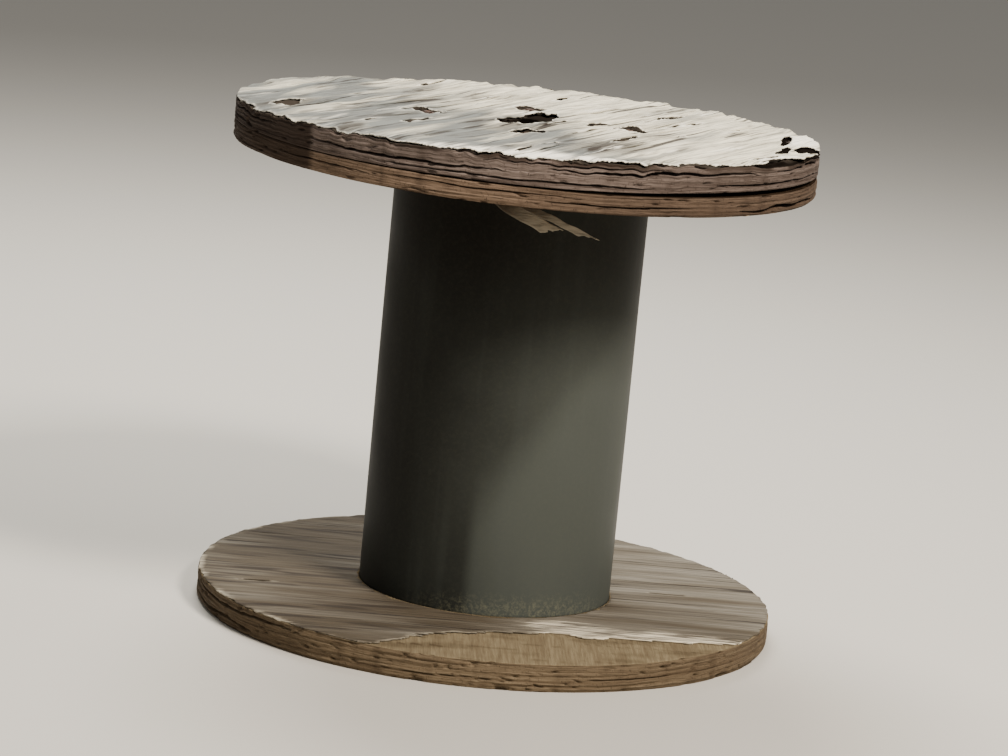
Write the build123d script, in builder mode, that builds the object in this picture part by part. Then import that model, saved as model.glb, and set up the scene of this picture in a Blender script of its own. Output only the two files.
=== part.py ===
from build123d import *
import math
import os

# A plywood cable drum that stands on its end, in millimetres.
# The origin is the middle of its foot, +Z runs up its axis and its torn front faces -Y.

# Flanges: the lower one is whole, the upper one has come apart into two discs
flange_diameter = 1016.0
bottom_flange_thickness = 51.0
top_inner_thickness = 33.0
top_outer_thickness = 38.0
arbor_diameter = 79.4

# Barrel, a fibre tube whose ends sit in grooves of the flanges' inner faces
barrel_diameter = 448.0
barrel_wall = 12.0
traverse = 762.0
groove_depth = 10.0
groove_clearance = 0.5

# Tie bolts inside the barrel, their square heads, nuts and plate washers sunk in the outer faces
bolt_count = 4
bolt_diameter = 16.0
bolt_circle_radius = 176.0
bolt_heading = 0.0
bolt_hole_clearance = 1.0
bolt_head_side = 38.0
bolt_head_height = 9.0
bolt_end_stand = 2.0
nut_across_flats = 24.0
nut_height = 13.0
thread_clearance = 0.15
washer_side = 38.0
washer_thickness = 3.0
recess_depth = 20.0
recess_clearance = 2.0

# Droop of the top inner disc to one side, beyond the edge of its clamped middle, and the share of
# it by which the lowest plies of the outer disc have sagged after it
clamped_radius = 236.0
droop_heading = -50.0
largest_droop = 14.0
sag_share = 0.6

# Face veneer: its thickness, where it has torn off, its buckled ridges and its hanging slivers
veneer_thickness = 2.6
top_grain = 66.0
ridge_height = 5.0
sliver_gap = 0.3
sliver_root = 46.0
sliver_bend_radius = 70.0
wide_sliver_width = 30.0
wide_sliver_tail = 140.0
wide_sliver_fall = 27.0
wide_sliver_heading = -108.0
wide_sliver_rim_distance = 108.0
thin_sliver_width = 13.0
thin_sliver_tail = 160.0
thin_sliver_fall = 22.0
thin_sliver_heading = -101.0
thin_sliver_rim_distance = 78.0
sliver_grain = 3.0

# Levels and radii that follow
flange_radius = flange_diameter / 2
barrel_radius = barrel_diameter / 2
winding_top = bottom_flange_thickness + traverse
top_joint_level = winding_top + top_inner_thickness
top_face_level = top_joint_level + top_outer_thickness
recess_radius = washer_side * math.sqrt(0.5) + recess_clearance
steepest_slope = largest_droop / (flange_radius - clamped_radius)
lean_slope = 0.45 * steepest_slope
cone_slope = steepest_slope - lean_slope
past_rim = 10.0


def upright_plane(heading, level):
    """Upright plane on the axis: x runs outward at the heading, y runs up from the level."""
    angle = math.radians(heading)
    outward = (math.cos(angle), math.sin(angle), 0)
    across = (math.sin(angle), -math.cos(angle), 0)
    return Plane(origin=(0, 0, level), x_dir=outward, z_dir=across)


def face_plane(heading, rim_distance, grain, level):
    """Level plane at a point of a face, so far in from the rim: x runs along the grain."""
    away = math.radians(heading)
    along = math.radians(grain)
    reach = flange_radius - rim_distance
    centre = (reach * math.cos(away), reach * math.sin(away), level)
    return Plane(origin=centre, x_dir=(math.cos(along), math.sin(along), 0), z_dir=(0, 0, 1))


def cut_bolt_holes(level, depth):
    """Through holes of the tie bolts in one disc, down from a level."""
    with BuildSketch(Plane.XY.offset(level)) as holes:
        with PolarLocations(bolt_circle_radius, bolt_count, start_angle=bolt_heading):
            Circle(bolt_diameter / 2 + bolt_hole_clearance)
    extrude(holes.sketch, amount=-depth, mode=Mode.SUBTRACT)


def cut_recesses(floor_level, depth):
    """Round pockets from their floors out through an outer face, for the washers and nuts or heads."""
    with BuildSketch(Plane.XY.offset(floor_level)) as pockets:
        with PolarLocations(bolt_circle_radius, bolt_count, start_angle=bolt_heading):
            Circle(recess_radius)
    extrude(pockets.sketch, amount=depth, mode=Mode.SUBTRACT)


def cut_barrel_groove(level, depth):
    """Ring groove that an end of the barrel sits in, with a clearance on both walls."""
    with BuildSketch(Plane.XY.offset(level)) as ring:
        Circle(barrel_radius + groove_clearance)
        Circle(barrel_radius - barrel_wall - groove_clearance, mode=Mode.SUBTRACT)
    extrude(ring.sketch, amount=depth, mode=Mode.SUBTRACT)


def open_ply_split(heading, depth, gap, level):
    """Wedge-shaped crack between two plies: closed at a chord, as wide as the gap at the rim."""
    tip = flange_radius - depth
    mouth = flange_radius + past_rim
    half_gap = gap / 2 * (mouth - tip) / depth
    with BuildSketch(upright_plane(heading, level)) as wedge:
        with BuildLine():
            Polyline((tip, 0), (mouth, half_gap), (mouth, -half_gap), close=True)
        make_face()
    extrude(wedge.sketch, amount=flange_radius, both=True, mode=Mode.SUBTRACT)


def tear_veneer(place, length, width):
    """Patch of a face where the veneer has torn off along the grain: a lens with one flatter side."""
    with BuildSketch(place.offset(-veneer_thickness)) as patch:
        with BuildLine():
            ThreePointArc((-length / 2, 0), (0, width * 0.62), (length / 2, 0))
            ThreePointArc((length / 2, 0), (length * 0.08, -width * 0.38), (-length / 2, 0))
        make_face()
    extrude(patch.sketch, amount=veneer_thickness + ridge_height, mode=Mode.SUBTRACT)


def build_ridge(place, length, width):
    """Buckled ridge of face veneer: a narrow arch along the grain, run out at its tips by a long arch."""
    along = Plane(origin=place.origin, x_dir=place.x_dir, z_dir=-place.y_dir)
    across = Plane(origin=place.origin, x_dir=place.y_dir, z_dir=place.x_dir)
    with BuildPart() as ridge:
        with BuildSketch(along):
            with BuildLine():
                ThreePointArc((-length / 2, 0), (0, 1.5 * ridge_height), (length / 2, 0))
                Line((length / 2, 0), (-length / 2, 0))
            make_face()
        extrude(amount=width, both=True)
        with BuildSketch(across):
            with BuildLine():
                ThreePointArc((-width / 2, 0), (0, ridge_height), (width / 2, 0))
                Line((width / 2, 0), (-width / 2, 0))
            make_face()
        extrude(amount=length, both=True, mode=Mode.INTERSECT)
    return ridge.part


def underside_level(x, y):
    """Height of the drooping underside of the top flange at a point of its drooping side."""
    turn = math.atan2(y, x) - math.radians(droop_heading)
    slope = cone_slope + lean_slope * math.cos(turn)
    return winding_top + steepest_slope * clamped_radius - slope * math.hypot(x, y)


def seat_under_flange(place):
    """Plane that lies against the drooping underside below a level plane's middle."""
    def seat_point(step):
        return Vector(step.X, step.Y, underside_level(step.X, step.Y) - sliver_gap)
    middle = seat_point(place.origin)
    along = seat_point(place.origin + place.x_dir) - middle
    across = seat_point(place.origin + place.y_dir) - middle
    return Plane(origin=middle, x_dir=along, z_dir=along.cross(across))


def build_mound(level, share=1.0):
    """Solid under a face that is level but for one side, where a blunt leaning cone cuts it lower,
    by the whole droop or by a share of it."""
    apex_level = level + share * steepest_slope * clamped_radius
    heading = math.radians(droop_heading)
    outward_and_down = (math.cos(heading), math.sin(heading), -share * lean_slope)
    across = (math.sin(heading), -math.cos(heading), 0)
    section = Plane(origin=(0, 0, apex_level), x_dir=outward_and_down, z_dir=across)
    reach = flange_diameter
    with BuildPart() as mound:
        with BuildSketch(section):
            with BuildLine():
                Polyline((0, 0), (reach, -share * cone_slope * reach), (reach, -reach), (0, -reach), close=True)
            make_face()
        revolve(axis=Axis(section.origin, section.y_dir))
        with BuildSketch(Plane.XY.offset(level)):
            Circle(flange_radius + past_rim)
        extrude(amount=-flange_radius, mode=Mode.INTERSECT)
    return mound.part


def finish_part(part, name):
    """Labels a finished piece and writes it to its own file."""
    part.label = name
    export_step(part, f"parts/{name}.step")


def build_top_outer_disc():
    """Upper disc of the top flange: split plies, a buckled, torn face and a foot sagged to one side."""
    sagged_foot = build_mound(top_joint_level, sag_share)
    largest_sag = sag_share * largest_droop
    ridges = [
        build_ridge(face_plane(160, 190, top_grain, top_face_level), length=380, width=42),
        build_ridge(face_plane(205, 250, top_grain - 5, top_face_level), length=300, width=34),
        build_ridge(face_plane(95, 150, top_grain + 3, top_face_level), length=260, width=38),
        build_ridge(face_plane(55, 180, top_grain, top_face_level), length=320, width=46),
        build_ridge(face_plane(15, 150, top_grain + 6, top_face_level), length=360, width=40),
        build_ridge(face_plane(-35, 190, top_grain + 2, top_face_level), length=280, width=36),
        build_ridge(face_plane(-85, 150, top_grain - 4, top_face_level), length=220, width=34),
    ]
    with BuildPart() as top_outer_disc:
        with BuildSketch(Plane.XY.offset(top_joint_level - largest_sag)):
            Circle(flange_radius)
        extrude(amount=top_outer_thickness + largest_sag)
        add(sagged_foot, mode=Mode.SUBTRACT)
        add(ridges)
        with Locations((0, 0, top_face_level)):
            Hole(arbor_diameter / 2)
        cut_bolt_holes(top_face_level, top_outer_thickness)
        cut_recesses(top_face_level - recess_depth, recess_depth + ridge_height)
        open_ply_split(heading=5, depth=120, gap=7, level=top_face_level - 7)
        open_ply_split(heading=-62, depth=70, gap=3, level=top_face_level - 14)
        open_ply_split(heading=-115, depth=60, gap=2.5, level=top_face_level - 23)
        open_ply_split(heading=130, depth=80, gap=3, level=top_face_level - 16)
        tear_veneer(face_plane(-88, 24, -4, top_face_level), length=330, width=60)
        tear_veneer(face_plane(-128, 22, -38, top_face_level), length=210, width=40)
        tear_veneer(face_plane(-47, 26, 43, top_face_level), length=240, width=44)
    return top_outer_disc.part


def build_top_inner_disc():
    """Lower disc of the top flange: flat over the barrel, drooping beyond it to one side."""
    upper = build_mound(top_joint_level)
    lower = build_mound(winding_top)
    with BuildPart() as top_inner_disc:
        with BuildSketch(Plane.XY.offset(winding_top - largest_droop)):
            Circle(flange_radius)
        extrude(amount=top_inner_thickness + largest_droop)
        add(upper, mode=Mode.INTERSECT)
        add(lower, mode=Mode.SUBTRACT)
        with Locations((0, 0, top_joint_level)):
            Hole(arbor_diameter / 2)
        cut_bolt_holes(top_joint_level, top_inner_thickness)
        cut_barrel_groove(winding_top, groove_depth)
        open_ply_split(heading=-30, depth=110, gap=5, level=winding_top - 2)
        open_ply_split(heading=150, depth=70, gap=2.5, level=winding_top + 11)
    return top_inner_disc.part


def build_bottom_flange():
    """Bottom flange: foot of the drum, with the barrel's groove and its veneer torn off in front."""
    level = bottom_flange_thickness
    with BuildPart() as bottom_flange:
        with BuildSketch(Plane.XY):
            Circle(flange_radius)
        extrude(amount=bottom_flange_thickness)
        with Locations((0, 0, level)):
            Hole(arbor_diameter / 2)
        cut_bolt_holes(level, bottom_flange_thickness)
        cut_recesses(recess_depth, -recess_depth)
        cut_barrel_groove(level, -groove_depth)
        with BuildSketch(Plane.XY.offset(level)) as torn_front:
            with BuildLine():
                tear = Spline(
                    (-0.45 * flange_radius, -1.08 * flange_radius),
                    (-0.26 * flange_radius, -0.82 * flange_radius),
                    (-0.07 * flange_radius, -0.68 * flange_radius),
                    (0.24 * flange_radius, -0.59 * flange_radius),
                    (0.6 * flange_radius, -0.56 * flange_radius),
                    (1.0 * flange_radius, -0.46 * flange_radius),
                )
                Polyline(tear @ 1, (flange_diameter, -flange_diameter), tear @ 0)
            make_face()
        extrude(torn_front.sketch, amount=-veneer_thickness, mode=Mode.SUBTRACT)
        open_ply_split(heading=-150, depth=70, gap=2.5, level=level - 15)
        open_ply_split(heading=-158, depth=60, gap=2.5, level=level - 38)
    return bottom_flange.part


def build_barrel_tube():
    """Fibre tube from the floor of one groove to the floor of the other."""
    with BuildPart() as barrel_tube:
        with BuildSketch(Plane.XY.offset(bottom_flange_thickness - groove_depth)):
            Circle(barrel_radius)
            Circle(barrel_radius - barrel_wall, mode=Mode.SUBTRACT)
        extrude(amount=traverse + 2 * groove_depth)
    return barrel_tube.part


def build_tie_bolt(x, y):
    """Long bolt: its square head on the floor of a bottom recess, its end just past the nut."""
    end_level = top_face_level - recess_depth + washer_thickness + nut_height + bolt_end_stand
    with BuildPart() as tie_bolt:
        with BuildSketch(Plane(origin=(x, y, recess_depth))):
            Rectangle(bolt_head_side, bolt_head_side)
        extrude(amount=-bolt_head_height)
        with BuildSketch(Plane(origin=(x, y, recess_depth))):
            Circle(bolt_diameter / 2)
        extrude(amount=end_level - recess_depth)
    return tie_bolt.part


def build_washer(x, y, level):
    """Square plate washer that lies on the floor of a top recess."""
    with BuildPart() as washer:
        with BuildSketch(Plane(origin=(x, y, level))):
            Rectangle(washer_side, washer_side)
            Circle(bolt_diameter / 2 + thread_clearance, mode=Mode.SUBTRACT)
        extrude(amount=washer_thickness)
    return washer.part


def build_nut(x, y, level):
    """Hexagon nut that lies on a washer."""
    with BuildPart() as nut:
        with BuildSketch(Plane(origin=(x, y, level))):
            RegularPolygon(nut_across_flats / 2, 6, major_radius=False)
            Circle(bolt_diameter / 2 + thread_clearance, mode=Mode.SUBTRACT)
        extrude(amount=nut_height)
    return nut.part


def build_sliver(place, width, tail, fall):
    """Sliver of veneer held by its root under the top flange, bent down and then straight."""
    middle = place.offset(-veneer_thickness / 2)
    side = Plane(origin=middle.origin, x_dir=middle.x_dir, z_dir=-middle.y_dir)
    with BuildPart() as sliver:
        with BuildLine(side) as centre_line:
            held = Line((0, 0), (sliver_root, 0))
            bend = JernArc(held @ 1, held % 1, sliver_bend_radius, -fall)
            Line(bend @ 1, (bend @ 1) + (bend % 1) * tail)
        with BuildSketch(Plane(origin=centre_line.line @ 0, x_dir=place.y_dir, z_dir=place.x_dir)):
            Rectangle(width, veneer_thickness)
        sweep()
    return sliver.part


os.makedirs("parts", exist_ok=True)

finish_part(build_bottom_flange(), "bottom_flange")
finish_part(build_barrel_tube(), "barrel_tube")
finish_part(build_top_inner_disc(), "top_flange_inner_disc")
finish_part(build_top_outer_disc(), "top_flange_outer_disc")

top_washer_level = top_face_level - recess_depth
for number in range(1, bolt_count + 1):
    angle = math.radians(bolt_heading + (number - 1) * 360 / bolt_count)
    bolt_x = bolt_circle_radius * math.cos(angle)
    bolt_y = bolt_circle_radius * math.sin(angle)
    finish_part(build_tie_bolt(bolt_x, bolt_y), f"tie_bolt_{number}")
    finish_part(build_washer(bolt_x, bolt_y, top_washer_level), f"top_washer_{number}")
    finish_part(build_nut(bolt_x, bolt_y, top_washer_level + washer_thickness), f"top_nut_{number}")

wide_level_place = face_plane(wide_sliver_heading, wide_sliver_rim_distance, sliver_grain, winding_top)
thin_level_place = face_plane(thin_sliver_heading, thin_sliver_rim_distance, sliver_grain, winding_top)
wide_sliver_place = seat_under_flange(wide_level_place)
thin_sliver_place = seat_under_flange(thin_level_place)
wide_sliver = build_sliver(wide_sliver_place, wide_sliver_width, wide_sliver_tail, wide_sliver_fall)
thin_sliver = build_sliver(thin_sliver_place, thin_sliver_width, thin_sliver_tail, thin_sliver_fall)
finish_part(wide_sliver, "torn_veneer_sliver_1")
finish_part(thin_sliver, "torn_veneer_sliver_2")
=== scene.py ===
import math

import bmesh
import bpy
import numpy as np
from mathutils import Matrix, Vector


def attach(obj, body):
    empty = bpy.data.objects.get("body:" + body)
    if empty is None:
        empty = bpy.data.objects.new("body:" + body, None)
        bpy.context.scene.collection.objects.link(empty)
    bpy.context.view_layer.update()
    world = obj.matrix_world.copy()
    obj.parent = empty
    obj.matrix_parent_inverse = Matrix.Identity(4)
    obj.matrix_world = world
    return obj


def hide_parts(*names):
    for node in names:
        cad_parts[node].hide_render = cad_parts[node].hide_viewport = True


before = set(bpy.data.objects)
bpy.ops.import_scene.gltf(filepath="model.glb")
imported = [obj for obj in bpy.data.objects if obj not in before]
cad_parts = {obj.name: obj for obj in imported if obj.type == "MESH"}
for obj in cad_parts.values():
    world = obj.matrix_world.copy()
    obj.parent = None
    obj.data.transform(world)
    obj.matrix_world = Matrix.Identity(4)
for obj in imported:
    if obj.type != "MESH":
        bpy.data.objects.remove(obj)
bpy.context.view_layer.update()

# Bottom flange.
# A round plywood disc that the drum stands on, with a bar hole, a ring groove for the barrel and
# pockets for the bolt heads. Its sawn rim is tan in front, and dark with opened plies at the left,
# partly from a dark stain and partly from painted shade; its right side carries painted shade too.

flange_radius = 0.508
bar_hole_radius = 0.0397
groove_inner_radius = 0.2115
groove_outer_radius = 0.2245
groove_depth = 0.010
bolt_circle = 0.176
bolt_headings = (0, 90, 180, 270)
pocket_radius = 0.0289
pocket_depth = 0.020
veneer_thickness = 0.0026
bottom_flange_top = 0.051
bottom_ply = 0.0042
bottom_grain = 3.0


def waves(a, b, length_a, length_b, seed):
    """Sum of seeded sine waves over two coordinates, each from half to twice the given lengths
    and in its own direction; it runs from about -1.5 to 1.5."""
    count = 16
    random = np.random.default_rng(seed)
    total = np.zeros(np.broadcast(a, b).shape)
    for turn, phase, size in random.uniform(0, 1, (count, 3)):
        along = a * math.cos(2 * math.pi * turn) / length_a
        across = b * math.sin(2 * math.pi * turn) / length_b
        total += np.sin(2 * math.pi * (2 ** (1 - 2 * size) * (along + across) + phase))
    return total / math.sqrt(count)


def ramp(value, low, high):
    """Smooth step: 0 below low, 1 above high, and 3t^2 - 2t^3 between them."""
    t = np.clip((value - low) / (high - low), 0, 1)
    return t * t * (3 - 2 * t)


def facing(headings, heading, low, high):
    """1 on the side that faces a heading in degrees and 0 away from it: a smooth step, from low to
    high, of the cosine of the angle to that heading."""
    return ramp(np.cos(headings - math.radians(heading)), low, high)


def turn_past(headings, heading):
    """Angle of headings past a given one in degrees, from minus half a turn to half a turn."""
    return (headings - math.radians(heading) + math.pi) % (2 * math.pi) - math.pi


def grain_axes(x, y, grain):
    """Coordinates of points along and across a grain direction, given in degrees."""
    turn = math.radians(grain)
    return x * math.cos(turn) + y * math.sin(turn), y * math.cos(turn) - x * math.sin(turn)


def around(columns):
    """Headings of the columns of a ring, evenly spaced from +X, as one row."""
    return np.linspace(0, 2 * math.pi, columns, endpoint=False)[None, :]


def spot(heading, away):
    """Place at a heading in degrees and a distance from the axis."""
    return away * math.cos(math.radians(heading)), away * math.sin(math.radians(heading))


def on_axis(radii, headings, levels):
    """Points at radii, headings and levels about the drum's axis."""
    x, y = radii * np.cos(headings), radii * np.sin(headings)
    return np.stack(np.broadcast_arrays(x, y, levels), -1)


def sink_pockets(x, y):
    """Draws points within 9 mm of a pocket's edge towards that edge, by the square of their
    distance, and gives how far each point sinks: nothing outside a pocket, its depth inside."""
    near = 0.009
    sink = np.zeros_like(x)
    for heading in bolt_headings:
        middle_x, middle_y = spot(heading, bolt_circle)
        away = np.hypot(x - middle_x, y - middle_y)
        off = away - pocket_radius
        drawn = pocket_radius + np.where(np.abs(off) < near, off * np.abs(off) / near, off)
        x = middle_x + (x - middle_x) * drawn / np.maximum(away, 1e-6)
        y = middle_y + (y - middle_y) * drawn / np.maximum(away, 1e-6)
        sink = np.where(off < 0, pocket_depth, sink)
    return x, y, sink


def rim_split(headings, depths, heading, half_length, depth, gap, reach):
    """How far in an opening between plies reaches: its reach is a half ellipse and its gap a
    parabola over its length, and its level wanders by slow waves."""
    share = np.clip(1 - (turn_past(headings, heading) / math.radians(half_length)) ** 2, 0, 1)
    seed = int(reach * 1e4 + depth * 1e5)
    level = depth + 0.0014 * waves(headings * flange_radius, 0 * headings, 0.16, 1, seed)
    return reach * np.sqrt(share) * ramp(gap * share / 2 - np.abs(depths - level), -0.0003, 0.0003)


def rim_wear(headings, depths, ply, seed, splits):
    """How far in from the full radius a rim lies: every other ply is set back, each wears along
    its length by slow waves, chips come where short steep waves pass a limit, and splits open."""
    index = np.floor(depths / ply + 0.25 * waves(headings, depths, 0.6, 1.0, seed + 2))
    slow = 0.0009 * waves(headings * flange_radius, index * 0.37, 0.25, 1.0, seed)
    chips = 0.0040 * ramp(waves(headings * flange_radius, depths, 0.035, 0.016, seed + 1), 0.9, 1.6)
    wear = np.maximum(0.0005 + 0.0010 * (index % 2) + slow + chips, 0)
    for split in splits:
        wear = wear + rim_split(headings, depths, *split)
    return wear


def mesh_object(name, points, quads, marks, face_finishes, finishes):
    """Object at the origin from points, four-sided faces, values kept on the points, and the
    number of each face's finish."""
    mesh = bpy.data.meshes.new(name)
    mesh.vertices.add(len(points))
    mesh.vertices.foreach_set("co", points.astype(np.float32).ravel())
    mesh.loops.add(quads.size)
    mesh.loops.foreach_set("vertex_index", quads.astype(np.int32).ravel())
    mesh.polygons.add(len(quads))
    mesh.polygons.foreach_set("loop_start", np.arange(0, quads.size, 4, dtype=np.int32))
    face_numbers = np.broadcast_to(face_finishes, len(quads)).astype(np.int32)
    mesh.polygons.foreach_set("material_index", face_numbers)
    mesh.polygons.foreach_set("use_smooth", np.ones(len(quads), dtype=bool))
    for key, values in marks.items():
        layer = mesh.attributes.new(key, "FLOAT", "POINT")
        layer.data.foreach_set("value", np.broadcast_to(values, len(points)).astype(np.float32).ravel())
    for finish in finishes:
        mesh.materials.append(finish)
    mesh.update(calc_edges=True)
    mesh.validate()
    piece = bpy.data.objects.new(name, mesh)
    bpy.context.scene.collection.objects.link(piece)
    return piece


def corners(values):
    """Values at the four corners of each cell of a grid, in order round it."""
    return [values[:-1, :-1], values[1:, :-1], values[1:, 1:], values[:-1, 1:]]


def ring_grid(name, grids, marks, finishes):
    """Closed skin from grids of points set one after another: rows follow a section out over the
    top, down outside, back in below and up inside, columns go round the axis, and both close on
    themselves. Each grid has its own finish and its own value of each mark."""
    points = np.concatenate(grids)
    columns = points.shape[1]
    closed = np.pad(np.arange(len(points) * columns).reshape(-1, columns), ((0, 1), (0, 1)), "wrap")
    quads = np.stack(corners(closed), -1).reshape(-1, 4)
    numbers = np.repeat(np.arange(len(grids)), [len(grid) * columns for grid in grids])
    spread = {}
    for key, values in marks.items():
        filled = [np.broadcast_to(value, grid.shape[:2]).ravel() for value, grid in zip(values, grids)]
        spread[key] = np.concatenate(filled)
    return mesh_object(name, points.reshape(-1, 3), quads, spread, numbers, finishes)


def srgb(code):
    """Linear colour of an sRGB hex value: a 2.4 power above the short straight foot."""
    parts = [int(code[i:i + 2], 16) / 255 for i in (0, 2, 4)]
    return [p / 12.92 if p <= 0.04045 else ((p + 0.055) / 1.055) ** 2.4 for p in parts] + [1.0]


def add_node(tree, kind, inputs, output=0, **settings):
    """Adds one node and gives back one of its output sockets. An input takes a socket to link, a
    number or vector, or a colour as an sRGB hex value. Scales count waves per metre: plies 3.4 mm
    thick are 290 to the metre."""
    node = tree.nodes.new("ShaderNode" + kind)
    for key, value in settings.items():
        setattr(node, key, value)
    for key, value in inputs.items():
        if isinstance(value, bpy.types.NodeSocket):
            tree.links.new(value, node.inputs[key])
        else:
            node.inputs[key].default_value = srgb(value) if isinstance(value, str) else value
    return node.outputs[output]


def start_material(name, roughness, specular, *marks):
    """New material, its node tree, main shader and Object coordinates, and a socket for each mark
    that the mesh keeps on its points."""
    material = bpy.data.materials.new(name)
    material.use_nodes = True
    tree = material.node_tree
    shader = tree.nodes["Principled BSDF"]
    shader.inputs["Roughness"].default_value = roughness
    shader.inputs["Specular IOR Level"].default_value = specular
    place = add_node(tree, "TexCoord", {}, "Object")
    read = [add_node(tree, "Attribute", {}, "Fac", attribute_name=mark) for mark in marks]
    return material, tree, shader, place, *read


def lay_coats(tree, shader, colour, coats, relief, strength, depth):
    """Lays each coat over the colour below it by the coat's amount, and joins the last colour and
    a bump from the relief, so many metres deep, to the shader."""
    for amount, coat in coats:
        colour = add_node(tree, "Mix", {0: amount, 6: colour, 7: coat}, 2, data_type="RGBA")
    tree.links.new(colour, shader.inputs["Base Color"])
    bump = add_node(tree, "Bump", {"Height": relief, "Strength": strength, "Distance": depth})
    tree.links.new(bump, shader.inputs["Normal"])


def sawn_ply_edge(name, light, dark, dirt):
    """Sawn edge of plywood, whose plies lie along and across by turns: long pale fibres, dark end
    grain and thin glue lines that come and go, each ply in its own tone, with upright stains and
    the dirt mark, which on the rims also carries painted shade. Plies are 3 to 4 mm thick; the mark
    depth is the distance below the face."""
    material, tree, shader, place, depth, dirt_and_painted_shade = start_material(name, 0.9, 0.2, "depth", "dirt")
    x, y = [add_node(tree, "SeparateXYZ", {0: place}, side) for side in (0, 1)]
    level = add_node(tree, "CombineXYZ", {0: x, 1: y, 2: depth})
    wide = add_node(tree, "Mapping", {"Vector": level, "Scale": (7, 7, 26)})
    wander = add_node(tree, "TexNoise", {"Vector": wide, "Scale": 1.0, "Detail": 3.0})
    shifted = add_node(tree, "Math", {0: wander, 1: 0.010, 2: depth}, operation="MULTIPLY_ADD")
    layered = add_node(tree, "CombineXYZ", {0: x, 1: y, 2: shifted})
    noises = []
    for source, scale, detail, roughness in (
        (layered, (2.2, 2.2, 290), 2.0, 0.7),
        (layered, (40, 40, 1100), 5.0, 0.5),
        (layered, (330, 330, 230), 3.0, 0.5),
        (level, (34, 34, 6), 4.0, 0.5),
    ):
        drawn = add_node(tree, "Mapping", {"Vector": source, "Scale": scale})
        settings = {"Vector": drawn, "Scale": 1.0, "Detail": detail, "Roughness": roughness}
        noises.append(add_node(tree, "TexNoise", settings))
    plies, fibres, pores, runs = noises
    tone = add_node(tree, "MapRange", {0: plies, 1: 0.36, 2: 0.62})
    glue_lines = add_node(tree, "MapRange", {0: fibres, 1: 0.47, 2: 0.34, 4: 0.75})
    dots = add_node(tree, "MapRange", {0: pores, 1: 0.40, 2: 0.28, 4: 0.8})
    stains = add_node(tree, "MapRange", {0: runs, 1: 0.52, 2: 0.82, 4: 0.6})
    coats = [(tone, light), (glue_lines, dirt), (dots, dirt), (stains, dirt), (dirt_and_painted_shade, dirt)]
    relief = add_node(tree, "Math", {0: plies, 1: fibres}, operation="ADD")
    lay_coats(tree, shader, dark, coats, relief, 0.8, 0.0018)
    return material


def bare_ply(name, grain, pale, deep, dirt):
    """Inner ply laid bare where the face veneer tore off: short torn fibres across the face's
    grain, pale where they pulled out clean and dark where glue and damp stayed. The dirt mark
    darkens it further, and on the top flange's outer disc that is partly painted shade."""
    material, tree, shader, place, dirt_and_painted_shade = start_material(name, 0.95, 0.0, "dirt")
    across = (0, 0, -math.radians(grain + 90))
    turned = add_node(tree, "Mapping", {"Vector": place, "Rotation": across})
    noises = []
    for scale, detail, roughness in (((14, 260, 260), 6.0, 0.65), ((5, 26, 26), 4.0, 0.5)):
        drawn = add_node(tree, "Mapping", {"Vector": turned, "Scale": scale})
        settings = {"Vector": drawn, "Scale": 1.0, "Detail": detail, "Roughness": roughness}
        noises.append(add_node(tree, "TexNoise", settings))
    fibres, bands = noises
    tone = add_node(tree, "MapRange", {0: fibres, 1: 0.28, 2: 0.66})
    damp = add_node(tree, "MapRange", {0: bands, 1: 0.50, 2: 0.72, 4: 0.6})
    lay_coats(tree, shader, deep, [(tone, pale), (damp, deep), (dirt_and_painted_shade, dirt)], fibres, 0.8, 0.0015)
    return material


headings = around(840)
inside_barrel = np.linspace(bar_hole_radius, groove_inner_radius, 5)
outside_barrel = np.linspace(groove_outer_radius, flange_radius - 0.003, 34)
groove_edges = [groove_inner_radius, groove_outer_radius]
radii = np.concatenate([inside_barrel, groove_edges, outside_barrel])[:, None]
x, y = radii * np.cos(headings), radii * np.sin(headings)
u, v = grain_axes(x, y, bottom_grain)
bare_level = bottom_flange_top - veneer_thickness - 0.0006
level = np.where(radii > groove_outer_radius, bare_level, bottom_flange_top)
groove_rows = slice(5, 7)
level[groove_rows] = bottom_flange_top - groove_depth
level = level + 0.0004 * waves(u, v, 0.016, 0.20, 13) * (radii > groove_outer_radius)
top_face = np.stack([x, y, level], -1)
damp_patches = 0.45 * ramp(waves(x, y, 0.22, 0.07, 27), 0.1, 1.3)
damp_patches = damp_patches + 0.5 * ramp(waves(u, v, 0.30, 0.012, 28), 0.9, 1.3)
bare_dirt = 0.05 + 0.7 * damp_patches + 0.35 * ramp(-x, 0.0, 0.3)
depths = np.linspace(veneer_thickness + 0.0010, bottom_flange_top - 0.0004, 30)[:, None]
wear = rim_wear(headings, depths, bottom_ply, 21, (
    (-150, 26, 0.015, 0.0034, 0.020),
    (-158, 22, 0.038, 0.0036, 0.018),
    (-172, 14, 0.027, 0.0022, 0.012),
    (-96, 14, 0.036, 0.0012, 0.008),
    (-60, 12, 0.030, 0.0012, 0.006),
    (40, 24, 0.022, 0.0024, 0.014),
    (120, 18, 0.034, 0.0022, 0.012),
))
worn_foot = 0.0030 * ramp(depths, bottom_flange_top - 0.007, bottom_flange_top)
chipped_foot = 0.006 * ramp(waves(headings * flange_radius, depths, 0.07, 0.2, 23), 0.8, 1.6)
chipped_foot = chipped_foot * ramp(depths, 0.040, 0.047)
rim = on_axis(flange_radius - wear - worn_foot - chipped_foot, headings, bottom_flange_top - depths)
outside_pockets = np.linspace(flange_radius - 0.005, 0.2190, 8)
pocket_band = np.linspace(0.2105, 0.1420, 26)
radii = np.concatenate([outside_pockets, pocket_band, [0.12, 0.08, bar_hole_radius]])[:, None]
under_face = np.stack(sink_pockets(radii * np.cos(headings), radii * np.sin(headings)), -1)
# Darker rim at the left, partly a dark stain and partly painted shade, and painted shade that darkens the
# right side.
side_stain_and_shade = 0.55 * facing(headings, -168, 0.60, 0.95) + 0.34 * facing(headings, -15, 0.25, 0.85)
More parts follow.
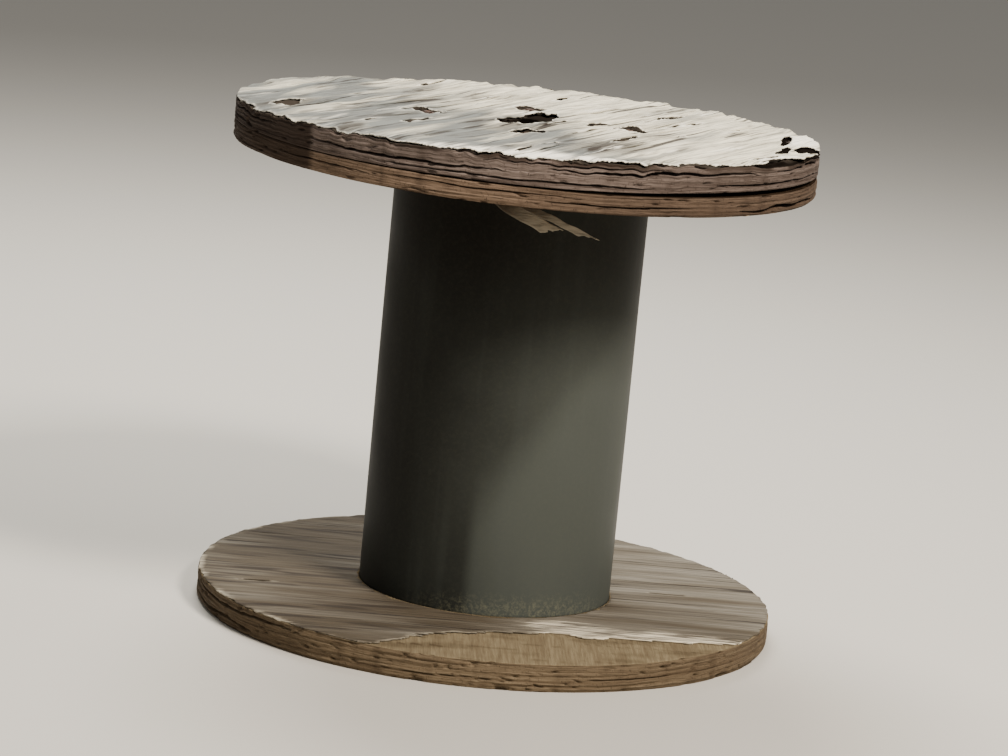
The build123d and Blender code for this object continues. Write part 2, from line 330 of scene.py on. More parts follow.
bottom_flange = ring_grid(
    "bottom_flange_plywood",
    [top_face, rim, under_face],
    {"depth": [0, depths, 0], "dirt": [bare_dirt, side_stain_and_shade, 0.3]},
    [
        bare_ply("torn_inner_ply_tan", bottom_grain, "8f8268", "6b5d49", "3d3123"),
        sawn_ply_edge("sawn_ply_edge_tan", "7e6e57", "62523e", "382b1d"),
        bare_ply("damp_ply_underside", bottom_grain + 90, "7a6548", "56442f", "352a1e"),
    ],
)
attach(bottom_flange, "root")
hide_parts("bottom_flange")

# Face veneer of the bottom flange.
# One rotary-cut sheet, glued on with its grain from left to right. Its front part has torn off
# along the grain and left bright splinters; the rest is grey-brown and stained at the left.

sheet_thickness = 0.0021


def patch(x, y, middle_x, middle_y, length, width, grain):
    """Oval mound that is 1 at its middle and 0 at its edge: one less the squares of the distances
    along and across the grain, each over its half size."""
    u, v = grain_axes(x - middle_x, y - middle_y, grain)
    return np.clip(1 - (2 * u / length) ** 2 - (2 * v / width) ** 2, 0, 1)


def rotary_veneer(name, grain, pale, grey, furrow, raw):
    """Rotary-cut face veneer left outdoors: silvered fibres along the grain in broad lighter and
    darker bands, fine checks along it painted dark as shade inside them, damp stains, and raw
    bright wood where it splintered. Fibres are drawn 5 mm apart, coarser than real, so that they
    show. The marks pale, raw and dirt come with the mesh; on some pieces they also carry painted
    light and painted shade."""
    material, tree, shader, place, weathered, splintered, dirt_and_painted_shade = start_material(
        name, 0.85, 0.25, "pale", "raw", "dirt"
    )
    turned = add_node(tree, "Mapping", {"Vector": place, "Rotation": (0, 0, -math.radians(grain))})
    noises = []
    for scale, detail, roughness, distortion in (
        ((1.8, 24, 24), 5.0, 0.5, 0.3),
        ((4, 210, 210), 6.0, 0.7, 0.0),
        ((3, 95, 95), 4.0, 0.5, 0.0),
    ):
        drawn = add_node(tree, "Mapping", {"Vector": turned, "Scale": scale})
        settings = {"Vector": drawn, "Scale": 1.0, "Detail": detail, "Roughness": roughness}
        noises.append(add_node(tree, "TexNoise", {**settings, "Distortion": distortion}))
    bands, fibres, checks = noises
    band = add_node(tree, "MapRange", {0: bands, 1: 0.30, 2: 0.70, 3: -0.35, 4: 0.35})
    tone = add_node(tree, "Math", {0: weathered, 1: band}, operation="ADD", use_clamp=True)
    dark_fibre = add_node(tree, "MapRange", {0: fibres, 1: 0.58, 2: 0.32, 4: 0.8})
    # Painted shade: dark colour 2a231d along the checks, standing for shade inside them.
    check_shade = add_node(tree, "MapRange", {0: checks, 1: 0.40, 2: 0.34, 4: 0.9})
    bright = add_node(tree, "MapRange", {0: fibres, 1: 0.32, 2: 0.52})
    blotch = add_node(tree, "MapRange", {0: bands, 1: 0.66, 2: 0.40})
    splinter, stain = [
        add_node(tree, "Math", {0: amount, 1: mark}, operation="MULTIPLY", use_clamp=True)
        for amount, mark in ((bright, splintered), (blotch, dirt_and_painted_shade))
    ]
    coats = [(tone, pale), (dark_fibre, furrow), (check_shade, "2a231d"), (splinter, raw), (stain, "2f271f")]
    closed = add_node(tree, "MapRange", {0: checks, 1: 0.33, 2: 0.41})
    relief = add_node(tree, "Math", {0: fibres, 1: closed}, operation="MULTIPLY")
    lay_coats(tree, shader, grey, coats, relief, 0.8, 0.0018)
    return material


def thicken(piece, thickness):
    """Gives a thin sheet its thickness, below the surface that it was made on."""
    wall = piece.modifiers.new("thickness", "SOLIDIFY")
    wall.thickness = thickness
    wall.offset = -1


def veneer_sheet(name, grain, inner_radius, rim_radius, torn_at, level_at, marks_at, cracks, seed, finish):
    """Sheet of strands 2 to 3 mm wide that follow the grain: a grid over grain coordinates, cut
    in three ways. Points past the rim or the middle opening move on to those circles. A point
    just inside a torn patch moves along its strand to where the torn field is zero. Along a crack
    the two sides of a strand part by a parabola, and the strand is left out."""
    random = np.random.default_rng(seed)
    strands, half_length, step = 388, 0.515, 0.0103
    across = -0.52 + np.cumsum(random.uniform(0.0020, 0.0034, strands))
    along = np.arange(-half_length, half_length + 0.0001, step)
    u = along[:, None] + random.uniform(-0.002, 0.002, (1, strands))
    v = across[None, :] + 0.0004 * waves(u, across[None, :], 0.08, 0.05, seed + 1)
    fray = random.uniform(-0.13, 0.13, (1, strands))
    left_out = np.zeros((len(along) - 1, strands - 1), dtype=bool)
    for line, middle, crack_reach, gap in cracks:
        share = np.clip(1 - ((u[:, line] - middle) / crack_reach) ** 2, 0, 1)
        centre = (v[:, line] + v[:, line + 1]) / 2
        opened = share > 0
        v[:, line] = np.where(opened, centre - gap / 2 * share, v[:, line])
        v[:, line + 1] = np.where(opened, centre + gap / 2 * share, v[:, line + 1])
        left_out[:, line] |= opened[:-1] & opened[1:]
    torn = torn_at(*grain_axes(u, v, -grain)) + fray
    before, after = torn[:-1], torn[1:]
    share = before / np.where(before == after, 1, before - after)
    met = before * after < 0
    edge_u = u[:-1] + share * (u[1:] - u[:-1])
    moved = u.copy()
    moved[1:] = np.where(met & (after > 0), edge_u, moved[1:])
    moved[:-1] = np.where(met & (before > 0), edge_u, moved[:-1])
    reached = torn <= 0
    reached[1:] |= met & (after > 0)
    reached[:-1] |= met & (before > 0)
    x, y = grain_axes(moved, v, -grain)
    radius = np.maximum(np.hypot(x, y), 1e-6)
    rim = rim_radius(np.arctan2(y, x))
    on_sheet = (radius < rim) & (radius > inner_radius)
    held = np.clip(radius, inner_radius, rim) / radius
    x, y = x * held, y * held
    kept = np.logical_and.reduce(corners(reached)) & np.logical_or.reduce(corners(on_sheet)) & ~left_out
    kept &= np.logical_or.reduce(corners(torn <= 0))
    numbers = np.arange(u.size).reshape(u.shape)
    quads = np.stack(corners(numbers), -1)[kept]
    used, quads = np.unique(quads, return_inverse=True)
    x, y, torn = x.ravel()[used], y.ravel()[used], np.minimum(torn.ravel()[used], 0)
    points = np.stack([x, y, level_at(x, y, torn)], -1)
    sheet = mesh_object(name, points, quads.reshape(-1, 4), marks_at(x, y, torn), 0, [finish])
    thicken(sheet, sheet_thickness)
    return sheet


def scattered_cracks(seed, count, longest, widest):
    """Seeded cracks, none beside another: strand, place along it, half length and gap."""
    random = np.random.default_rng(seed)
    strands = 4 * random.permutation(90)[:count] + 14
    places = random.uniform(-0.38, 0.38, count)
    sizes = random.uniform(0.2, 1, (count, 2)) * (longest, widest)
    return [(int(strand), place, *size) for strand, place, size in zip(strands, places, sizes)]


def bottom_torn(x, y):
    """Torn in front of a line that runs from the rim at the left front back to the rim at the
    right, and in two spots behind it; the line wanders, so that it breaks into long splinters."""
    u, v = grain_axes(x, y, bottom_grain)
    line_x = [-0.229, -0.132, -0.036, 0.122, 0.305, 0.508]
    line_y = [-0.549, -0.417, -0.345, -0.300, -0.284, -0.234]
    line = np.interp(x, line_x, line_y)
    line = line + 0.007 * waves(x, y, 0.06, 0.4, 11) + 0.005 * waves(u, v, 0.12, 0.012, 12)
    spots = 1.6 * patch(x, y, -0.40, -0.13, 0.10, 0.016, 5) + 1.5 * patch(x, y, 0.33, 0.05, 0.12, 0.014, 2)
    return np.maximum((line - y) / 0.02, spots - 1)


def bottom_level(x, y, torn):
    """Level of the sheet: gentle waves along the grain, and an edge lifted where it has torn."""
    u, v = grain_axes(x, y, bottom_grain)
    ripple = 0.0005 * waves(u, v, 0.30, 0.030, 14) + 0.0003 * waves(u, v, 0.15, 0.009, 15)
    curl = 0.0010 * ramp(torn, -0.7, 0) * (1 + waves(u, v, 0.10, 0.05, 16))
    held_down = ramp(np.hypot(x, y), flange_radius - 0.012, flange_radius)
    level = bottom_flange_top - 0.0006 + ripple + curl - 0.0006 * held_down
    return np.minimum(level, bottom_flange_top - 0.00005)


def bottom_marks(x, y, torn):
    """Bright splinters along the tear, brightest right of the barrel's foot and at the right
    front; greyer wood to the right and damp stains at the left."""
    u, v = grain_axes(x, y, bottom_grain)
    near_foot = patch(x, y, 0.165, -0.26, 0.26, 0.14, -8)
    right_front = patch(x, y, 0.365, -0.27, 0.34, 0.16, 0)
    shreds = np.clip(0.5 + 0.9 * waves(u, v, 0.16, 0.007, 25), 0, 1.6)
    wide = (near_foot + 1.2 * right_front) * shreds
    torn_edge = ramp(torn, -0.40 - 1.7 * wide, -0.05 - 1.0 * wide)
    spots = np.minimum(0.18 + 1.2 * near_foot + 1.3 * right_front, 0.96)
    pale = 0.02 + 0.50 * ramp(x, -0.3, 0.2) + 0.30 * waves(u, v, 0.40, 0.07, 17)
    dirt = 0.9 * ramp(waves(u, v, 0.22, 0.04, 18), 0.2, 1.1) * ramp(-x, -0.25, 0.3)
    lip = ramp(np.hypot(x, y), flange_radius - 0.012, flange_radius - 0.003) * ramp(-x, 0.05, 0.3)
    left_lip = 0.45 * lip * ramp(waves(x, y, 0.09, 0.09, 26), -0.6, 0.8)
    return {"raw": torn_edge * spots + left_lip, "pale": pale, "dirt": dirt * (1 - torn_edge)}


bottom_veneer = veneer_sheet(
    "bottom_face_veneer", bottom_grain, groove_outer_radius + 0.0006,
    lambda turn: flange_radius - 0.0022 - 0.0012 * waves(turn * flange_radius, 0 * turn, 0.05, 1, 19),
    bottom_torn, bottom_level, bottom_marks, scattered_cracks(20, 46, 0.14, 0.0022), 24,
    rotary_veneer("grey_brown_rotary_veneer", bottom_grain, "857f73", "554c3e", "382f24", "efe3ca"),
)
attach(bottom_veneer, "root")

# Barrel.
# A spiral-wound fibre tube, 448 mm across with a 12 mm wall, whose ends sit in the ring grooves of
# both flanges. Its dark sealing coat is dusty at the foot. Painted shade darkens it above and at the
# back left, and painted light lightens it at the lower front right.

barrel_radius = 0.224
barrel_wall = 0.012
barrel_foot = 0.041
barrel_top = 0.823


def sealed_paperboard(name):
    """Spiral-wound paperboard with a dark sealing coat: even and half matt, with faint upright
    scuffs and cloudy rubbed places. The marks add painted light in slate at the lower front right,
    painted shade in near black above and at the back left, and a little yard dust."""
    material, tree, shader, place, dusty, faded, shaded = start_material(
        name, 0.55, 0.05, "dust", "faded", "painted_shade"
    )
    upright = add_node(tree, "Mapping", {"Vector": place, "Scale": (34, 34, 1.6)})
    scuffs = add_node(tree, "TexNoise", {"Vector": upright, "Scale": 1.0, "Detail": 5.0})
    clouds = add_node(tree, "TexNoise", {"Vector": place, "Scale": 7.0, "Detail": 4.0})
    grit = add_node(tree, "TexNoise", {"Vector": place, "Scale": 140.0, "Detail": 6.0, "Roughness": 0.8})
    tone = add_node(tree, "MapRange", {0: clouds, 1: 0.3, 2: 0.7})
    rubbed = add_node(tree, "MapRange", {0: scuffs, 1: 0.50, 2: 0.80, 4: 0.55})
    grains = add_node(tree, "MapRange", {0: grit, 1: 0.46, 2: 0.66})
    dust = add_node(tree, "Math", {0: grains, 1: dusty}, operation="MULTIPLY", use_clamp=True)
    gloss = add_node(tree, "MapRange", {0: clouds, 1: 0.3, 2: 0.7, 3: 0.42, 4: 0.55})
    tree.links.new(gloss, shader.inputs["Roughness"])
    # Colour 4c504b is painted light and 110f0c is painted shade; 8d8b70 is dust.
    coats = [(tone, "323430"), (rubbed, "3b3e3a"), (faded, "4c504b"), (shaded, "110f0c"), (dust, "8d8b70")]
    lay_coats(tree, shader, "272825", coats, scuffs, 0.12, 0.0005)
    return material


turns = around(240)
levels = np.linspace(barrel_foot, barrel_top, 60)[:, None]
down = levels[::-1]
out_of_round = np.clip(0.0006 * waves(turns * barrel_radius, levels, 0.5, 0.9, 31), -0.0007, 0.0007)
outside = on_axis(barrel_radius - 0.0007 + out_of_round[::-1], turns, down)
inside = on_axis(barrel_radius - barrel_wall, turns, levels)
front_foot = np.cos(turns - math.radians(-72)) * ramp(down, 0.135, 0.050)
# Painted light in slate: over the lower front right of the barrel, reaching higher towards the right, where
# light falls.
to_right = np.sin(turns + math.radians(95))
painted_light_top = 0.26 + 0.36 * np.clip(to_right, 0, 1)
faded = (0.80 - 0.12 * ramp(to_right, 0.3, 0.9)) * ramp(to_right, -0.12, 0.01)
faded = faded * ramp(down - painted_light_top, 0.10, -0.10)
faded = np.maximum(faded, 0.42 * ramp(to_right, -0.4, 0.8) * ramp(down, 0.74, 0.50))
faded = faded * facing(turns, -30, -0.1, 0.6)
# Painted shade: near black over the upper barrel under the top flange, most at the left, and up the back left
# side.
painted_shade = 0.88 * ramp(down, 0.42, 0.74) * (0.55 + 0.45 * ramp(-to_right, -0.7, 0.3))
painted_shade_back = 0.80 * ramp(-np.cos(turns - math.radians(-20)), -0.2, 0.8) * ramp(down, 0.05, 0.30)
barrel = ring_grid(
    "barrel_fibre_tube", [inside, outside],
    {
        "dust": [0, 0.02 + 0.36 * ramp(front_foot, 0.45, 1.0)],
        "faded": [0, faded],
        "painted_shade": [0.3, np.maximum(painted_shade, painted_shade_back)],
    },
    [sealed_paperboard("sealed_paperboard_inside"), sealed_paperboard("sealed_paperboard_dark_grey")],
)
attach(barrel, "root")
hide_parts("barrel_tube")

# Top flange, inner disc.
# The lower of two plywood discs, clamped on the barrel by the bolts. Beyond the clamped middle it
# droops to the front right, by 14 mm at the rim, and its plies gape there.

winding_top = 0.813
top_joint = 0.846
inner_thickness = top_joint - winding_top
top_ply = 0.0034
clamped_radius = 0.236
steepest_slope = 0.014 / (flange_radius - clamped_radius)
inner_grain = 3.0


def droop(x, y):
    """Drop of the inner disc: a cone with 0.55 of the steepest slope that leans by the other 0.45
    to the heading of -50 degrees, and nothing where it stands above the level disc."""
    turn = np.arctan2(y, x) - math.radians(-50)
    return np.maximum(steepest_slope * ((0.55 + 0.45 * np.cos(turn)) * np.hypot(x, y) - clamped_radius), 0)


def bore_wall(climb, foot, top, wear, seed):
    """Wall of the bar hole through one disc, at shares of the climb from its foot to its top: worn
    back by seeded waves, most at half height."""
    worn = wear * (1 + waves(headings * 0.04, climb, 0.03, 0.3, seed) / 1.5) * np.sin(math.pi * climb)
    return on_axis(bar_hole_radius + worn, headings, foot + (top - foot) * climb)


radii = np.linspace(bar_hole_radius, flange_radius - 0.002, 12)[:, None]
x, y = radii * np.cos(headings), radii * np.sin(headings)
upper_face = np.stack([x, y, top_joint - 0.0004 - droop(x, y)], -1)
depths = np.linspace(0.0004, inner_thickness - 0.0004, 34)[:, None]
wear = rim_wear(headings, depths, top_ply, 41, (
    (-28, 17, 0.024, 0.0056, 0.045),
    (-96, 20, 0.010, 0.0016, 0.010),
    (-70, 16, 0.019, 0.0018, 0.012),
    (-130, 14, 0.013, 0.0014, 0.008),
    (150, 20, 0.022, 0.0026, 0.016),
    (70, 26, 0.012, 0.0020, 0.012),
))
worn_foot = 0.0026 * ramp(depths, inner_thickness - 0.006, inner_thickness)
rim_radii = flange_radius - wear - worn_foot - 0.0016 * (1 - ramp(depths, 0, 0.003))
full_x, full_y = flange_radius * np.cos(headings), flange_radius * np.sin(headings)
rim = on_axis(rim_radii, headings, top_joint - depths - droop(full_x, full_y))
outside_barrel = np.linspace(flange_radius - 0.004, groove_outer_radius, 34)
inside_barrel = np.linspace(groove_inner_radius, bar_hole_radius, 5)
groove_edges = [groove_outer_radius, groove_inner_radius]
radii = np.concatenate([outside_barrel, groove_edges, inside_barrel])[:, None]
x, y = radii * np.cos(headings), radii * np.sin(headings)
u, v = grain_axes(x, y, inner_grain)
clear = ramp(radii, 0.235, 0.25)
peeled_field = waves(u, v, 0.20, 0.035, 43) + 1.8 * patch(x, y, -0.02, -0.395, 0.50, 0.13, inner_grain)
peeled_field = peeled_field + 1.2 * patch(x, y, -0.22, 0.28, 0.40, 0.10, inner_grain)
peeled = ramp(peeled_field, 0.75, 0.85) * clear
level = winding_top - droop(x, y) + 0.0022 * peeled
level = level + 0.0003 * (1 + waves(u, v, 0.3, 0.014, 44)) * clear
groove_rows = slice(34, 36)
level[groove_rows] += groove_depth
lower_face = np.stack([x, y, level], -1)
edge_of_peel = ramp(peeled_field, 0.35, 0.75) * (1 - peeled)
bore = bore_wall(np.linspace(0.06, 0.94, 5)[:, None], winding_top, top_joint, 0.0006, 47)
past_left = turn_past(headings, 200)
# Darker block at the left of the rim, partly a dark stain and partly painted shade; painted shade also
# darkens the right side.
left_stain_and_shade = 0.88 * ramp(past_left, 0.475, 0.440) * ramp(past_left, -0.90, -0.20)
painted_shade_right = 0.62 * facing(headings, -15, -0.10, 0.70)
inner_disc = ring_grid(
    "top_flange_inner_plywood",
    [upper_face, rim, lower_face, bore],
    {
        "depth": [0, depths, 0, 0],
        "dirt": [0.9, left_stain_and_shade + painted_shade_right, 0.2 + 0.6 * peeled, 0.5],
        "pale": [0, 0, 0.4 + 0.3 * waves(u, v, 0.3, 0.06, 45), 0],
        "raw": [0, 0, 0.8 * edge_of_peel, 0],
    },
    [
        bare_ply("sheltered_inner_ply", inner_grain, "6f5c48", "4a3a2b", "221a13"),
        sawn_ply_edge("sawn_ply_edge_grey_brown", "85705d", "5e4c3c", "2d2118"),
        rotary_veneer("sheltered_veneer_warm_brown", inner_grain, "a98459", "83603c", "5a4028", "d8bd92"),
        bare_ply("damp_bore_ply", inner_grain, "4f3f2e", "372a1e", "1c1610"),
    ],
)
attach(inner_disc, "root")
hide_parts("top_flange_inner_disc")

# Slivers of the lowest veneer.
# Two long strips that have come unglued from the underside in front; each is still held at its
# left end, bends down and then hangs straight out to the right, where it is broken off aslant.

sliver_thickness = 0.0026
sliver_grain = 3.0
sliver_root = 0.046
sliver_bend = 0.070


def hanging_sliver(name, heading, rim_distance, width, tail, fall, seed, finish):
    """Strip carried along its path: straight at the root, an arc of the bend radius, then straight
    at the fall angle. It hollows across its width and wanders by slow waves. Its strands end from
    0.80 to 0.99 of its length, from its lower side to its upper one, less a seeded 2 per cent."""
    random = np.random.default_rng(seed)
    start_x, start_y = spot(heading, flange_radius - rim_distance)
    grain = math.radians(sliver_grain)
    fall = math.radians(fall)
    arc = sliver_bend * fall
    length = sliver_root + arc + tail
    strands = 13
    share = np.linspace(-1, 1, strands)[None, :]
    ends = 0.895 - 0.02 * random.uniform(0, 1, strands) + 0.095 * np.linspace(-1, 1, strands)
    along = np.linspace(0, 1, 90)[:, None] * (length * ends)[None, :]
    bent = np.clip(along - sliver_root, 0, arc) / sliver_bend
    past = np.maximum(along - sliver_root - arc, 0)
    forward = np.minimum(along, sliver_root) + sliver_bend * np.sin(bent) + past * math.cos(fall)
    down = sliver_bend * (1 - np.cos(bent)) + past * math.sin(fall)
    half = width / 2 * (1 - 0.12 * ramp(along, 0.05, length))
    side = share * half + 0.0012 * waves(along, share, 0.06, 1.5, seed + 1)
    twist = math.radians(72) * ramp(along, sliver_root * 0.8, sliver_root + arc + 0.05)
    hollow = 0.08 * width * share ** 2 * np.sin(twist) - side * np.sin(twist)
    side = side * np.cos(twist)
    x = start_x + forward * math.cos(grain) - side * math.sin(grain)
    y = start_y + forward * math.sin(grain) + side * math.cos(grain)
    start_droop = droop(start_x, start_y)
    lowest = winding_top - start_droop - 0.0006
    follows = np.maximum(droop(x, y) - start_droop, 0) * (1 - ramp(along, sliver_root, 0.09))
    z = lowest - down - hollow - follows
    quads = np.stack(corners(np.arange(x.size).reshape(x.shape)), -1).reshape(-1, 4)
    points = np.stack([x, y, z], -1).reshape(-1, 3)
    # The strip is painted darker near its root, as painted shade under the flange, and paler and brighter
    # towards its tip, as painted light.
    tip = (ramp(along, 0.45 * length, 0.85 * length) + 0 * share).ravel()
    marks = {"raw": 0.05 + 0.75 * tip, "pale": 0.1 + 0.9 * tip, "dirt": 0.5 - 0.5 * tip}
    sliver = mesh_object(name, points, quads, marks, 0, [finish])
    thicken(sliver, sliver_thickness * 0.7)
    return sliver


pulled_veneer = rotary_veneer("pulled_veneer_pale", sliver_grain, "867e6e", "554c3f", "3f372b", "a39b89")
for number, heading, rim_distance, width, tail, fall in (
    (1, -108, 0.108, 0.030, 0.140, 27),
    (2, -101, 0.078, 0.013, 0.160, 22),
):
    name = f"hanging_veneer_sliver_{number}"
    sliver = hanging_sliver(name, heading, rim_distance, width, tail, fall, 46 + number, pulled_veneer)
    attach(sliver, "root")
    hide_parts(f"torn_veneer_sliver_{number}")

# Top flange, outer disc.
# The upper plywood disc, which takes sun and rain. It has buckled into ridges along its grain, its
# plies have split at the rim and sagged below, and round the bar hole they are torn and rotten.

top_face_level = 0.884
outer_thickness = top_face_level - top_joint
top_grain = 66.0
highest = 0.889


def buckled_level(x, y):
    """Level of the weathered face: long ridges and wrinkles along the grain, and a rim that waves
    by a few millimetres."""
    u, v = grain_axes(x, y, top_grain)
    ridges = np.zeros(np.shape(x))
    for heading, rim_distance, turn, length, width in (
        (160, 0.190, 0, 0.38, 0.042),
        (205, 0.250, -5, 0.30, 0.034),
        (95, 0.150, 3, 0.26, 0.038),
        (55, 0.180, 0, 0.32, 0.046),
        (15, 0.150, 6, 0.36, 0.040),
        (-35, 0.190, 2, 0.28, 0.036),
        (-85, 0.150, -4, 0.22, 0.034),
    ):
        middle = spot(heading, flange_radius - rim_distance)
        ridges = np.maximum(ridges, patch(x, y, *middle, length, width, top_grain + turn))
    wrinkles = 0.0022 * waves(u, v, 0.50, 0.050, 52) + 0.0011 * waves(u, v, 0.25, 0.018, 53)
    rim_wave = 0.0014 * ramp(np.hypot(x, y), 0.42, 0.50) * waves(x, y, 0.10, 0.10, 57)
    level = top_face_level + 0.0004 + 0.0048 * ridges + wrinkles + rim_wave
    return np.clip(level, top_face_level - 0.0026, highest - 0.0010)


def ply_level(x, y):
    """Level of the ply below the face veneer: a veneer's thickness down, and up to 6 mm more where
    plies have gone as well, at the right tip and the right front."""
    gone = patch(x, y, 0.480, -0.010, 0.34, 0.110, 88) + patch(x, y, 0.430, -0.250, 0.22, 0.080, 60)
    gone = np.minimum(1.6 * gone, 1) * ramp(waves(x, y, 0.10, 0.10, 67), -1.2, 0.2)
    return buckled_level(x, y) - veneer_thickness - 0.0002 - 0.0060 * gone


def sagged_joint(x, y):
    """Level of the disc's lower face: its lowest plies sag by a share of the inner disc's droop,
    0.78 left of the front and 0.40 at the right, so that the joint opens to the right."""
    return top_joint - (0.40 + 0.38 * facing(np.arctan2(y, x), -128, 0.05, 0.85)) * droop(x, y)


inside_pockets = np.linspace(bar_hole_radius, 0.135, 14)
pocket_band = np.linspace(0.1420, 0.2105, 26)
outside_pockets = np.linspace(0.2200, flange_radius - 0.003, 22)
radii = np.concatenate([inside_pockets, pocket_band, outside_pockets])[:, None]
x, y, sink = sink_pockets(radii * np.cos(headings), radii * np.sin(headings))
u, v = grain_axes(x, y, top_grain)
broken = 1.5 * patch(x, y, 0.030, 0.075, 0.21, 0.100, 80) + 1.4 * patch(x, y, -0.012, -0.025, 0.17, 0.110, 60)
broken = ramp(broken + 0.30 * waves(u, v, 0.07, 0.018, 50), 0.12, 0.45)
gone = np.clip((buckled_level(x, y) - ply_level(x, y) - veneer_thickness) / 0.003, 0, 1)
# Face dirt: rot stains round the bar hole and in the bolt pockets, and painted shade in the torn recess
# there, where plies have gone, and under the curled veneer at the right tip.
painted_shade_right_tip = patch(x, y, 0.47, 0.0, 0.40, 0.20, 88)
face_stain_and_shade = 0.50 + 0.40 * broken + 0.50 * (sink > 0) + 0.6 * gone + 0.8 * painted_shade_right_tip
level = ply_level(x, y) + 0.0005 * waves(u, v, 0.016, 0.2, 51) - 0.0036 * broken - sink
top_face = np.stack([x, y, level], -1)
depths = np.linspace(veneer_thickness + 0.0004, outer_thickness - 0.0004, 34)[:, None]
wear = rim_wear(headings, depths, top_ply, 61, (
    (5, 40, 0.0095, 0.0060, 0.055),
    (-62, 24, 0.014, 0.0034, 0.030),
    (-115, 22, 0.023, 0.0030, 0.024),
    (-90, 30, 0.031, 0.0018, 0.012),
    (-30, 26, 0.028, 0.0024, 0.018),
    (-80, 18, 0.0085, 0.0020, 0.012),
    (130, 26, 0.016, 0.0030, 0.026),
    (70, 30, 0.025, 0.0022, 0.016),
    (-160, 16, 0.012, 0.0018, 0.008),
    (-172, 16, 0.028, 0.0018, 0.008),
))
front = facing(headings, -90, -0.15, 0.35)
ragged = ramp(waves(headings * flange_radius, depths, 0.06, 0.5, 63), 0.4, 1.4)
wear = wear + 0.008 * ragged * (1 - ramp(depths, 0.004, 0.008)) * (0.3 + 0.7 * front)
rim_radii = flange_radius - wear - 0.0012 * ramp(depths, outer_thickness - 0.003, outer_thickness)
rim_foot = sagged_joint(full_x, full_y)
share_down = (depths - depths[0]) / (outer_thickness - depths[0])
rim_level = rim_foot + (ply_level(full_x, full_y) - rim_foot) * (1 - share_down)
rim = on_axis(rim_radii, headings, rim_level)
radii = np.linspace(flange_radius - 0.003, bar_hole_radius + 0.001, 9)[:, None]
x, y = radii * np.cos(headings), radii * np.sin(headings)
under_face = np.stack([x, y, sagged_joint(x, y)], -1)
bore = bore_wall(np.linspace(0.02, 0.95, 6)[:, None], top_joint, level[0][None, :], 0.0010, 66)
# Darker block at the left of the rim, partly a dark stain and partly painted shade; painted shade also
# darkens the right side.
left_stain_and_shade = 0.86 * ramp(past_left, 0.465, 0.440) * ramp(past_left, -0.90, -0.20)
painted_shade_right = 0.38 * facing(headings, -15, 0.15, 0.80)
# Painted shade: a dark band in the top plies of the front right rim, under the torn front lip of the veneer.
painted_shade_under_lip = 0.85 * facing(headings, -55, 0.30, 0.65) * (1 - ramp(depths, 0.0065, 0.0095))
painted_shade_under_lip = painted_shade_under_lip * ramp(waves(headings, depths, 0.25, 1.0, 68), -0.9, 0.0)
outer_disc = ring_grid(
    "top_flange_outer_plywood",
    [top_face, rim, under_face, bore],
    {
        "depth": [0, depths, 0, 0],
        "dirt": [face_stain_and_shade, np.maximum(left_stain_and_shade + painted_shade_right, painted_shade_under_lip), 0.8, 1.0],
    },
    [
        bare_ply("torn_inner_ply_grey", top_grain, "625a51", "3a332c", "15110e"),
        sawn_ply_edge("sawn_ply_edge_weathered", "80726a", "52463f", "2b1f16"),
        bare_ply("sheltered_joint_ply", top_grain + 90, "7d6244", "523d28", "2c2118"),
        # The bar hole's wall is painted near black, partly rot and partly painted shade inside the hole.
        bare_ply("rotten_and_shaded_bore_ply", top_grain, "3d3024", "2a2019", "0e0b09"),
    ],
)
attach(outer_disc, "root")
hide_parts("top_flange_outer_disc")

# Face veneer of the top flange.
# One rotary-cut sheet that sun and rain have silvered. It follows the buckled plies, has cracked,
# torn round the bar hole and along the front rim, and curled up at the right.


def top_torn(x, y):
    """Torn round the bar hole in two lobes, over the pockets, along a strip of the front rim and
    in streaks along the grain."""
    u, v = grain_axes(x, y, top_grain)
    field = 0.36 * waves(u, v, 0.24, 0.030, 54) - 0.66
    for middle_x, middle_y, length, width, grain, height in (
        (0.018, 0.046, 0.16, 0.070, 80, 2.4),
        (-0.010, -0.020, 0.15, 0.092, 60, 2.4),
        (0.165, -0.180, 0.19, 0.024, 72, 1.6),
        (0.035, -0.310, 0.13, 0.024, 66, 1.5),
        (0.120, 0.025, 0.12, 0.030, 66, 1.4),
        (-0.190, -0.150, 0.14, 0.026, 66, 1.2),
        (-0.415, -0.090, 0.12, 0.044, 66, 1.4),
        (0.438, -0.110, 0.20, 0.026, 80, 1.8),
        (0.452, 0.050, 0.20, 0.022, 84, 1.8),
        (0.395, -0.255, 0.16, 0.022, 60, 1.6),
        (0.485, -0.070, 0.09, 0.060, 70, 1.7),
        (-0.060, 0.330, 0.24, 0.020, 66, 1.2),
        (0.250, 0.220, 0.22, 0.018, 62, 1.2),
        (-0.290, 0.150, 0.18, 0.016, 68, 1.1),
    ):
        field = field + height * patch(x, y, middle_x, middle_y, length, width, grain)
    for heading in bolt_headings:
        middle_x, middle_y = spot(heading, bolt_circle)
        away = np.hypot(x - middle_x, y - middle_y)
        field = np.maximum(field, (pocket_radius + 0.002 - away) / 0.012)
    turn = np.arctan2(y, x)
    strip = 0.004 + 0.016 * ramp(waves(turn * flange_radius, 0 * turn, 0.11, 1, 55), 0.0, 1.3)
    front = facing(turn, -95, 0.0, 0.45)
    return np.maximum(field, (np.hypot(x, y) - flange_radius + strip * front) / 0.02 - (1 - front))


def curled_tips(x, y):
    """Where the sheet curls up most: an oval at the right tip and one at the right front."""
    return patch(x, y, 0.478, 0.050, 0.22, 0.080, 88) + patch(x, y, 0.425, -0.255, 0.16, 0.070, 60)


